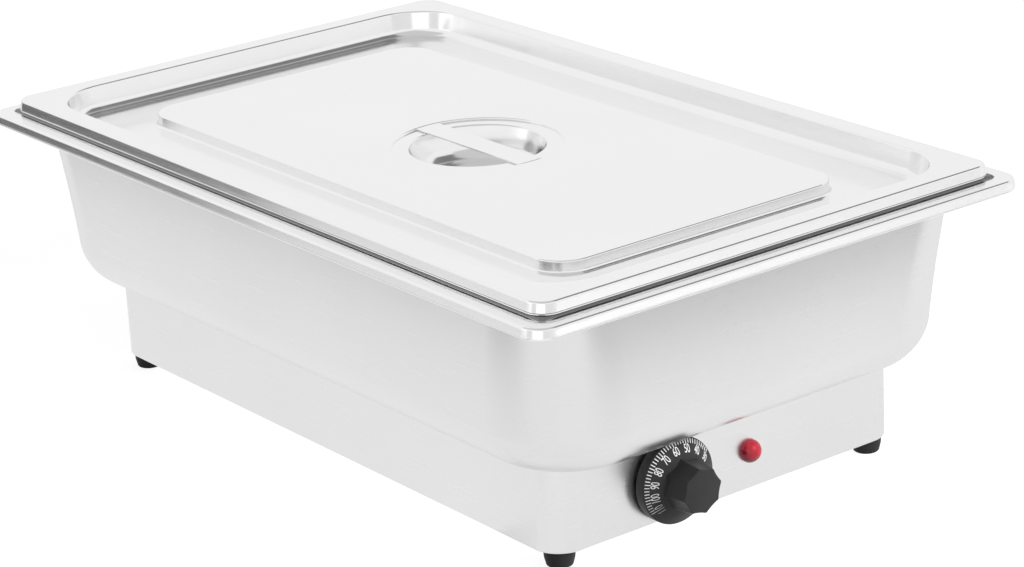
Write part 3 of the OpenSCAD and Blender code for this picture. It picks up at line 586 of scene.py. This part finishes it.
# Lid
def panel_step(panel_z, well_z):
    """Rings of the leaning step from the raised panel down to the well's floor."""
    tangent = math.tan(math.radians(45 - STEP_DRAFT / 2))
    foot_out = (panel_z - well_z) * math.tan(math.radians(STEP_DRAFT))
    high_centre = (-STEP_OUT * tangent, panel_z - STEP_OUT)
    low_centre = (foot_out + STEP_IN * tangent, well_z + STEP_IN)
    high = arc(PANEL, high_centre, STEP_OUT, 90, STEP_DRAFT, 1)
    low = arc(PANEL, low_centre, STEP_IN, 180 + STEP_DRAFT, 270, -1)
    return high + low


def lid():
    """Finger dish, sunk ledge, raised panel, well, border and lip, with the same sheet underneath."""
    top = lid_high.z
    well_z = top - WELL_DEPTH
    panel_z = well_z + PANEL_RISE
    ledge_z = bar_low.z
    drop = panel_z - ledge_z
    edge = (lid_high.x, lid_high.y, LID_CORNER)
    well = (lid_high.x - LID_BORDER, lid_high.y - LID_BORDER, WELL_CORNER)
    dish = (DISH_RADIUS, DISH_RADIUS, DISH_RADIUS)
    ledge = (LEDGE_RADIUS, LEDGE_RADIUS, LEDGE_RADIUS)
    inner = drop - LEDGE_EDGE
    lip_bottom = pan_high.z + REST_GAP + CUT_EDGE
    rings = bowl(dish, ledge_z, DISH_DEPTH - drop + SHEET, DISH_DRAFT, DISH_FILLET, DISH_BEND)
    rings += arc(ledge, (-inner, ledge_z + inner), inner, -90, 0, -1, LEDGE_FOOT_STEPS)
    rings += arc(ledge, (LEDGE_EDGE, panel_z - LEDGE_EDGE), LEDGE_EDGE, 180, 90, 1, LEDGE_EDGE_STEPS)
    rings += panel_step(panel_z, well_z)
    rings += bowl(well, top, WELL_DEPTH + SHEET, WELL_DRAFT, WELL_FILLET, WELL_BEND)
    rings += lip(edge, top, top - lip_bottom)
    return skin("lid_shell", rings + lip_edge(edge, lip_bottom) + under(rings))


# Grip bar
def strap_outline(inset):
    """The strap's outline, with straight sides and round ends, drawn in by an inset."""
    half_width = (bar_high.y - bar_low.y) / 2 - inset
    radius = bar_high.x - inset
    spread = math.asin(half_width / radius)
    points = []
    for side in (0, math.pi):
        for step in range(STRAP_END_STEPS + 1):
            turn = side - spread + 2 * spread * step / STRAP_END_STEPS
            points.append((radius * math.cos(turn), radius * math.sin(turn)))
    return points


def grip_bar():
    """A flat strap whose round ends follow the ledge, with softened edges."""
    soft = STRAP_SOFT
    levels = [(soft, bar_low.z), (0, bar_low.z + soft)]
    for step in range(EDGE_STEPS + 1):
        turn = math.radians(90 * step / EDGE_STEPS)
        levels.append((soft * (1 - math.cos(turn)), bar_high.z - soft + soft * math.sin(turn)))
    places = [(x, y, z) for inset, z in levels for x, y in strap_outline(inset)]
    count = 2 * (STRAP_END_STEPS + 1)
    made = mesh_object("grip_strap", places, stack_faces(len(levels), count))
    weighted = made.modifiers.new("flat faces", "WEIGHTED_NORMAL")
    weighted.mode = "FACE_AREA"
    return made


# Food pan
def food_pan():
    """A drawn pan with a flat flange and a rounded edge, the flange's underside in dark steel that is painted
    shade for the gap where the flange rests on the bath.
    """
    top = pan_high.z
    edge = (pan_high.x, pan_high.y, LID_CORNER)
    depth = pan_high.z - pan_low.z
    rings = bowl(PAN, top, depth, WALL_DRAFT, PAN_FILLET, PAN_BEND)
    turn = arc(edge, (-CUT_EDGE, top - CUT_EDGE), CUT_EDGE, 90, 0, 1, EDGE_STEPS)
    turn += arc(edge, (-CUT_EDGE, top - SHEET + CUT_EDGE), CUT_EDGE, 0, -90, 1, EDGE_STEPS)
    shell = skin("food_pan_shell", rings + turn + under(rings))
    # The flange's underside gets the dark steel: painted shade in the gap where the flange rests on the bath
    for face in shell.data.polygons:
        if face.center.z > top - PAN_BEND and face.normal.z < -FACING_DOWN:
            face.material_index = SECOND_SLOT
    return shell


# Water bath
def bath_corner(ring, wall_low, floor_edge):
    """Corner radius of the bath at a ring: it grows down the wall and closes in round the floor."""
    seat = bath_high.z
    if ring.z > wall_low.z:
        share = (seat - ring.z) / (seat - wall_low.z)
        eased = math.sin(math.pi / 2 * min(max(share, 0), 1))
        return BATH_TOP_CORNER + (BATH_LOW_CORNER - BATH_TOP_CORNER) * eased
    share = (wall_low.half_x - ring.half_x) / (wall_low.half_x - floor_edge.half_x)
    return BATH_LOW_CORNER + (BATH_FLOOR_CORNER - BATH_LOW_CORNER) * share ** FLOOR_CLOSING


def bath_rings():
    """Rings of the bath's inner side from its floor to the seat, the wall divided and its corners shaped."""
    outline = (*BATH, BATH_TOP_CORNER)
    depth = bath_high.z - bath_low.z
    fillet_centre, bend_centre = bowl_centres(bath_high.z, depth, WALL_DRAFT, BATH_FILLET, BATH_BEND)
    low = arc(outline, fillet_centre, BATH_FILLET - SHEET, -90, -WALL_DRAFT, -1, BATH_FILLET_STEPS)
    high = arc(outline, bend_centre, BATH_BEND, 180 - WALL_DRAFT, 90, 1)
    start, end = low[-1], high[0]
    wall = []
    for step in range(1, BATH_WALL_RINGS):
        share = step / BATH_WALL_RINGS
        half_x = start.half_x + (end.half_x - start.half_x) * share
        half_y = start.half_y + (end.half_y - start.half_y) * share
        z = start.z + (end.z - start.z) * share
        wall.append(Ring(half_x, half_y, BATH_TOP_CORNER, z, start.face))
    rings = low + wall + high
    for ring in rings:
        ring.corner = bath_corner(ring, start, low[0])
    for before, ring, after in zip(rings, rings[1:], rings[2:]):
        run = max(after.half_x - before.half_x, LEAST_RUN)
        rate = (after.corner - before.corner) / run
        ring.rate = min(max(rate, -RATE_LIMIT), RATE_LIMIT)
    return rings


def water_bath():
    """The tank, the seat of the food pan, the step down to the rim, the rim's lip and its rolled edge.
    The rim is polished, and the seat is in dark steel that is painted shade in the gap under the pan's
    flange."""
    seat = bath_high.z
    rim_z = seat - RIM_STEP
    rim = (bath_high.x, bath_high.y, RIM_CORNER)
    inner = RIM_MARGIN + SEAT_INSET
    run = RIM_STEP / math.tan(math.radians(SEAT_SLOPE))
    shift = SEAT_ROUND * math.tan(math.radians(SEAT_SLOPE / 2))
    bottom = rim_z - RIM_LIP
    high_centre = (-inner - shift, seat - SEAT_ROUND)
    low_centre = (-inner + run + shift, rim_z + SEAT_ROUND)
    rings = bath_rings()
    rings += arc(rim, high_centre, SEAT_ROUND, 90, 90 - SEAT_SLOPE, 1, SEAT_STEPS)
    rings += arc(rim, low_centre, SEAT_ROUND, 270 - SEAT_SLOPE, 270, -1, SEAT_STEPS)
    rings += lip(rim, rim_z, RIM_LIP)
    turn = arc(rim, (-EDGE_ROUND, bottom), EDGE_ROUND, LIP_FLARE, -90, 1, EDGE_STEPS)[1:]
    roll_centre = (-RIM_ROLL - SHEET / 4, bottom - RIM_ROLL + SHEET / 2)
    turn += arc(rim, roll_centre, RIM_ROLL, ROLL_START, ROLL_END, 1, ROLL_STEPS)
    shell = skin("water_bath_shell", rings + turn + under(rings))
    rim_low = bottom - 2 * RIM_ROLL
    # The seat gets the dark steel as painted shade in the gap under the pan's flange; the rim below it is
    # polished
    for face in shell.data.polygons:
        if face.center.z > rim_z + SEAT_ABOVE:
            face.material_index = THIRD_SLOT
        elif face.center.z > rim_low:
            face.material_index = SECOND_SLOT
    return shell


# Plinth
def plinth():
    """A folded skirt with turned-in edges above and below; its faces that look upward, the upper edge among
    them, are in dark steel that is painted shade in the seam under the bath.
    """
    outline = (plinth_high.x, plinth_high.y, PLINTH_CORNER)
    low, high = plinth_low.z, plinth_high.z
    top_hole = Ring(plinth_high.x - TOP_EDGE, plinth_high.y - TOP_EDGE, HOLE_CORNER, high, (0, 1))
    bottom_hole = Ring(plinth_high.x - BOTTOM_EDGE, plinth_high.y - BOTTOM_EDGE, HOLE_CORNER, low, (0, -1))
    rings = [top_hole]
    rings += arc(outline, (-PLINTH_BEND, high - PLINTH_BEND), PLINTH_BEND, 90, 0, 1)
    rings += arc(outline, (-PLINTH_BEND, low + PLINTH_BEND), PLINTH_BEND, 0, -90, 1)
    rings.append(bottom_hole)
    shell = skin("plinth_shell", rings + under(rings, PLINTH_SHEET), closed=True)
    # Faces that look upward get the dark steel: painted shade in the seam where the bath sits on the plinth
    for face in shell.data.polygons:
        if face.normal.z > FACING_UP:
            face.material_index = SECOND_SLOT
    return shell


dress(lid(), "lid", polished, "polished_steel", "lid")
dress(grip_bar(), "lid", polished, "polished_steel", "lid_grip_bar")
pan_piece = dress(food_pan(), "pan", polished, "polished_steel", "food_pan")
# The pan's second material: dark steel for the painted shade under its flange
pan_piece.data.materials.append(painted_shade_steel)
bath_piece = dress(water_bath(), "base", satin, "steel", "water_bath")
bath_piece.data.materials.append(polished)
# The bath's third material: dark steel for the painted shade at the seat
bath_piece.data.materials.append(painted_shade_steel)
plinth_piece = dress(plinth(), "base", satin, "steel", "plinth")
# The plinth's second material: dark steel for the painted shade in the seam under the bath
plinth_piece.data.materials.append(painted_shade_steel)


# Turned pieces: circles along an axis
def sharpen(piece, degrees):
    """Keeps edges above an angle crisp while the rest stays smooth."""
    piece.data.set_sharp_from_angle(angle=math.radians(degrees))
    return piece


def turned(name, profile, place, sides, crease):
    """A round piece from (radius, height) points along its axis, its first and last point filled."""
    places = []
    for radius, height in profile:
        for side in range(sides):
            turn = 2 * math.pi * side / sides
            places.append(place @ Vector((radius * math.cos(turn), radius * math.sin(turn), height)))
    return sharpen(mesh_object(name, places, stack_faces(len(profile), sides)), crease)


def round_edge(radius, height, soft, start, end, steps=ROUND_STEPS):
    """Points of a rounded edge of a turned profile, given the centre of the rounding."""
    points = []
    for step in range(steps + 1):
        turn = math.radians(start + (end - start) * step / steps)
        points.append((radius + soft * math.cos(turn), height + soft * math.sin(turn)))
    return points


# The knob's own axis runs along +X, with the dial's right along +Y and its top along +Z
knob_centre = Vector((knob_low.x, (knob_low.y + knob_high.y) / 2, (knob_low.z + knob_high.z) / 2))
facing_end = Matrix(((0, 0, 1, 0), (1, 0, 0, 0), (0, 1, 0, 0), (0, 0, 0, 1)))
knob_place = Matrix.Translation(knob_centre) @ facing_end
skirt_radius = (knob_high.y - knob_low.y) / 2
knob_length = knob_high.x - knob_low.x


def cone_height(radius):
    """Height of the skirt's sloping face at a distance from the knob's axis."""
    return SKIRT_THICKNESS + (skirt_radius - radius) * SKIRT_SLOPE


def knob_skirt():
    """The hollow-backed round skirt with a sloping face."""
    soft = SKIRT_EDGE
    profile = [(KNOB_BORE, RECESS_DEPTH), (RECESS_RADIUS, RECESS_DEPTH), (RECESS_RADIUS, 0)]
    profile += round_edge(skirt_radius - soft, soft, soft, -90, 0)
    profile += round_edge(skirt_radius - soft, SKIRT_THICKNESS - soft * SKIRT_SLOPE, soft, 0, 90 - SKIRT_LEAN)
    profile += [(CONE_TIP, cone_height(CONE_TIP))]
    return turned("knob_skirt", profile, knob_place, SKIRT_SIDES, SKIRT_CREASE)


def grip_outline(apothem):
    """An eight-sided outline whose sides are slightly hollow and whose corners are softened."""
    points = []
    half_side = apothem * math.tan(math.pi / GRIP_SIDES)
    reach = half_side - GRIP_SOFT
    for side in range(GRIP_SIDES):
        turn = 2 * math.pi * (side + 0.5) / GRIP_SIDES + math.radians(GRIP_TURN)
        cosine, sine = math.cos(turn), math.sin(turn)
        for step in range(GRIP_POINTS):
            share = 2 * step / (GRIP_POINTS - 1) - 1
            along = share * reach
            away = apothem - GRIP_SAG * (1 - share * share)
            points.append((away * cosine - along * sine, away * sine + along * cosine))
    return points


def knob_grip():
    """The eight-sided grip, narrower at its front, with a softened front edge and a bare front face."""
    levels = [(GRIP_BACK, SKIRT_THICKNESS)]
    for step in range(GRIP_EDGE_STEPS + 1):
        turn = math.radians(90 * step / GRIP_EDGE_STEPS)
        inset = GRIP_EDGE * (1 - math.cos(turn))
        levels.append((GRIP_FRONT - inset, knob_length - GRIP_EDGE + GRIP_EDGE * math.sin(turn)))
    places = []
    for apothem, height in levels:
        places += [knob_place @ Vector((x, y, height)) for x, y in grip_outline(apothem)]
    faces = stack_faces(len(levels), GRIP_SIDES * GRIP_POINTS)
    return sharpen(mesh_object("knob_grip", places, faces), GRIP_CREASE)


def dial_angle(value):
    """Where a value stands on the dial, in radians anticlockwise from its right-hand side."""
    return math.radians(DIAL_START_ANGLE + (value - DIAL_FIRST) * DIAL_DEGREES_PER_UNIT)


def dial_place(turn, radius):
    """Frame on the sloping face at an angle and a radius: x down the slope outwards,
    y round the dial, z off the face."""
    at = Matrix.Translation(Vector((radius, 0, cone_height(radius))))
    lean = Matrix.Rotation(math.atan(SKIRT_SLOPE), 4, "Y")
    lift = Matrix.Translation(Vector((0, 0, PRINT_LIFT)))
    return knob_place @ Matrix.Rotation(turn, 4, "Z") @ at @ lean @ lift


def dial_ticks():
    """A short line for every second degree of the scale and a longer one for every tenth."""
    places, faces = [], []
    for value in range(DIAL_FIRST, DIAL_LAST + 1, DIAL_STEP):
        inner = TICK_LONG if value % NUMBER_STEP == 0 else TICK_SHORT
        first = len(places)
        for radius, side in ((inner, -1), (TICK_OUTER, -1), (TICK_OUTER, 1), (inner, 1)):
            along = Vector((0, side * TICK_WIDTH / 2, 0))
            places.append(dial_place(dial_angle(value), radius) @ along)
        faces.append((first, first + 1, first + 2, first + 3))
    return mesh_object("dial_ticks", places, faces)


def dial_number(value):
    """The figures of one value, their tops pointing outwards."""
    curve = bpy.data.curves.new("figures", "FONT")
    curve.body = str(value)
    curve.size = NUMBER_HEIGHT / FIGURE_SHARE
    curve.align_x = "CENTER"
    curve.align_y = "CENTER"
    curve.space_character = FIGURE_SPACING
    written = bpy.data.objects.new("figures", curve)
    mesh = bpy.data.meshes.new_from_object(written)
    upright = Matrix.Rotation(-math.pi / 2, 4, "Z") @ Matrix.Diagonal((NUMBER_WIDTH, 1, 1, 1))
    mesh.transform(dial_place(dial_angle(value), NUMBER_RADIUS) @ upright)
    bpy.data.objects.remove(written)
    made = bpy.data.objects.new(f"dial_number_{value}", mesh)
    bpy.context.scene.collection.objects.link(made)
    return made


dress(knob_skirt(), "knob", black_plastic, "plastic_black", "control_knob")
dress(knob_grip(), "knob", black_plastic, "plastic_black")
dress(dial_ticks(), "knob", print_white, "white_plastic")
for marked in range(DIAL_FIRST, DIAL_LAST + 1, NUMBER_STEP):
    dress(dial_number(marked), "knob", print_white, "white_plastic")


# Pilot lamp
def lamp_lens():
    """A domed lens on a short round collar, its tip left flat by a part of the last step."""
    middle = (lens_low + lens_high) / 2
    place = Matrix.Translation(Vector((lens_low.x, middle.y, middle.z))) @ facing_end
    radius = (lens_high.y - lens_low.y) / 2
    height = lens_high.x - lens_low.x
    dome = height - LENS_COLLAR
    sphere = (radius ** 2 + dome ** 2) / (2 * dome)
    spread = math.asin(radius / sphere)
    profile = [(radius, 0), (radius, LENS_COLLAR)]
    for step in range(1, LENS_STEPS + 1):
        turn = spread * (1 - step / (LENS_STEPS + LENS_TIP))
        profile.append((sphere * math.sin(turn), height - sphere * (1 - math.cos(turn))))
    return turned("lamp_dome", profile, place, LENS_SIDES, LENS_CREASE)


dress(lamp_lens(), "base", red_lens, "red_lens", "lamp_lens")


# Feet
def foot(number):
    """A tapered rubber foot with a rounded tread and a sunk hole for its screw."""
    low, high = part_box(f"foot_{number}")
    middle = (low + high) / 2
    place = Matrix.Translation(Vector((middle.x, middle.y, low.z)))
    top = (high.x - low.x) / 2
    tread = top - FOOT_TAPER
    height = high.z - low.z
    soft = FOOT_EDGE
    profile = [(FOOT_BORE, height / 2), (FOOT_HOLE, height / 2), (FOOT_HOLE, 0)]
    profile += round_edge(tread - soft, soft, soft, -90, 0, FOOT_EDGE_STEPS)
    profile += [(tread + FOOT_MIDDLE * FOOT_TAPER, height / 2), (top, height), (FOOT_BORE, height)]
    return turned(f"foot_tread_{number}", profile, place, FOOT_SIDES, FOOT_CREASE)


for foot_number in range(1, FOOT_COUNT + 1):
    dress(foot(foot_number), "base", rubber, "rubber_black", f"foot_{foot_number}")


# Studio
def mix_shaders(tree, factor, first, second):
    """The first shader where the factor is 0 and the second where it is 1."""
    mix = add(tree, "ShaderNodeMixShader")
    tree.links.new(factor, mix.inputs["Fac"])
    tree.links.new(first, mix.inputs[1])
    tree.links.new(second, mix.inputs[2])
    return mix.outputs["Shader"]


def by_ray(tree, plain, mirrored, seen):
    """Chooses a shader by the kind of ray: light on the object, reflections in metal or glass,
    or the camera."""
    path = add(tree, "ShaderNodeLightPath")
    reflected = add(tree, "ShaderNodeMath")
    reflected.operation = "MAXIMUM"
    tree.links.new(path.outputs["Is Glossy Ray"], reflected.inputs[0])
    tree.links.new(path.outputs["Is Transmission Ray"], reflected.inputs[1])
    unseen = mix_shaders(tree, reflected.outputs["Value"], plain, mirrored)
    return mix_shaders(tree, path.outputs["Is Camera Ray"], unseen, seen)


def floor():
    """A white floor that keeps a faint shadow of the object and shows a little greyer in the metal."""
    material, tree, shader = new_material("studio_floor")
    grain = noise(tree, object_space(tree, EVEN), Scale=60.0, Detail=3.0)
    tree.links.new(ramp(tree, grain, FLOOR_DARK, FLOOR_LIGHT), shader.inputs["Base Color"])
    shader.inputs["Roughness"].default_value = FLOOR_ROUGH
    shader.inputs["Specular IOR Level"].default_value = FLOOR_SHINE
    glowing = []
    for strength in (FLOOR_MIRRORED, FLOOR_SEEN):
        white = add(tree, "ShaderNodeEmission", Strength=strength)
        both = add(tree, "ShaderNodeAddShader")
        tree.links.new(shader.outputs["BSDF"], both.inputs[0])
        tree.links.new(white.outputs["Emission"], both.inputs[1])
        glowing.append(both.outputs["Shader"])
    shown = by_ray(tree, shader.outputs["BSDF"], *glowing)
    tree.links.new(shown, tree.nodes["Material Output"].inputs["Surface"])
    half = FLOOR_HALF
    corners = [(-half, -half, 0), (half, -half, 0), (half, half, 0), (-half, half, 0)]
    ground = mesh_object("floor", corners, [(0, 1, 2, 3)])
    ground.location.z = -FLOOR_DROP
    ground.data.materials.append(material)


def cloth(name, strength):
    """A studio cloth of an even grey level, with a faint weave."""
    material, tree, shader = new_material(name)
    tree.nodes.remove(shader)
    weave = noise(tree, object_space(tree, EVEN), Scale=80.0, Detail=2.0)
    glow = add(tree, "ShaderNodeEmission", Strength=strength)
    tree.links.new(ramp(tree, weave, low=0.97, high=1.0), glow.inputs["Color"])
    tree.links.new(glow.outputs["Emission"], tree.nodes["Material Output"].inputs["Surface"])
    return material


def only_mirrored(panel, strength):
    """Makes a studio panel of a grey level that shows only in shiny surfaces."""
    panel.data.materials.append(cloth(panel.name + "_cloth", strength))
    panel.visible_camera = False
    panel.visible_diffuse = False
    panel.visible_shadow = False


def level_card(name, low, high, z, strength):
    """A level panel between two corners."""
    corners = [(low[0], low[1], z), (high[0], low[1], z), (high[0], high[1], z), (low[0], high[1], z)]
    only_mirrored(mesh_object(name, corners, [(0, 1, 2, 3)]), strength)


def round_screen(name, radius, start, end, high, strength):
    """An upright panel from the floor to a height, bent round the set between two angles from +X."""
    places, faces = [], []
    for step in range(SCREEN_STEPS + 1):
        turn = math.radians(start + (end - start) * step / SCREEN_STEPS)
        for z in (0, high):
            places.append((radius * math.cos(turn), radius * math.sin(turn), z))
    for step in range(SCREEN_STEPS):
        first = 2 * step
        faces.append((first, first + 2, first + 3, first + 1))
    only_mirrored(mesh_object(name, places, faces), strength)


def world_light():
    """White to the camera, nearly white in reflections, and a plain level of light on the object."""
    world = bpy.data.worlds.new("studio")
    bpy.context.scene.world = world
    world.use_nodes = True
    tree = world.node_tree
    shades = []
    for strength in (WORLD_LIGHT, WORLD_MIRRORED, WORLD_SEEN):
        shade = add(tree, "ShaderNodeBackground", Color=(1, 1, 1, 1), Strength=strength)
        shades.append(shade.outputs["Background"])
    tree.links.new(by_ray(tree, *shades), tree.nodes["World Output"].inputs["Surface"])


def area_light(name, place, aim, size, power):
    """A square soft box that the metal does not show."""
    lamp = bpy.data.lights.new(name, "AREA")
    lamp.size = size
    lamp.energy = power
    holder = bpy.data.objects.new(name, lamp)
    holder.location = place
    holder.rotation_mode = "QUATERNION"
    holder.rotation_quaternion = (Vector(aim) - Vector(place)).to_track_quat("-Z", "Y")
    holder.visible_glossy = False
    bpy.context.scene.collection.objects.link(holder)


def camera():
    """The photograph's view."""
    data = bpy.data.cameras.new("camera")
    data.sensor_fit = "HORIZONTAL"
    data.sensor_width = SENSOR_WIDTH
    data.lens = CAMERA_LENS
    holder = bpy.data.objects.new("camera", data)
    holder.location = CAMERA_PLACE
    holder.rotation_mode = "QUATERNION"
    level = (CAMERA_AIM - CAMERA_PLACE).to_track_quat("-Z", "Y")
    holder.rotation_quaternion = level @ Quaternion((0, 0, 1), math.radians(CAMERA_ROLL))
    bpy.context.scene.collection.objects.link(holder)
    bpy.context.scene.camera = holder


bpy.context.scene.view_settings.view_transform = "Standard"
floor()
world_light()
level_card("ceiling_back", low=(-0.35, 0.45), high=(0.7, 1.5), z=CEILING, strength=0.2)
level_card("ceiling_left", low=(-0.8, 0.45), high=(-0.35, 1.5), z=CEILING, strength=0.48)
level_card("ceiling_front", low=(-0.8, -0.9), high=(1.1, 0.45), z=CEILING, strength=0.62)
level_card("table_left", low=(-0.85, -0.7), high=(0.25, -0.36), z=ON_FLOOR, strength=0.45)
level_card("table_near_left", low=(-0.85, -0.36), high=(0.16, -0.1), z=ON_FLOOR, strength=0.9)
level_card("table_right", low=(0.46, -0.15), high=(0.85, 0.65), z=ON_FLOOR, strength=0.5)
round_screen("grey_screen", radius=2.4, start=-165, end=15, high=0.6, strength=0.78)
round_screen("soft_box_left", radius=2.3, start=-131, end=-95, high=0.8, strength=1.25)
round_screen("soft_box_right", radius=2.3, start=-71, end=-33, high=0.8, strength=1.25)
round_screen("low_card", radius=1.37, start=-160, end=-137, high=0.16, strength=0.12)
area_light("top_box", place=(0.2, -0.2, 2.2), aim=(0, 0, 0.1), size=2.0, power=12)
area_light("right_box", place=(2.0, 0.8, 1.2), aim=(0, 0, 0.08), size=1.2, power=75)
camera()
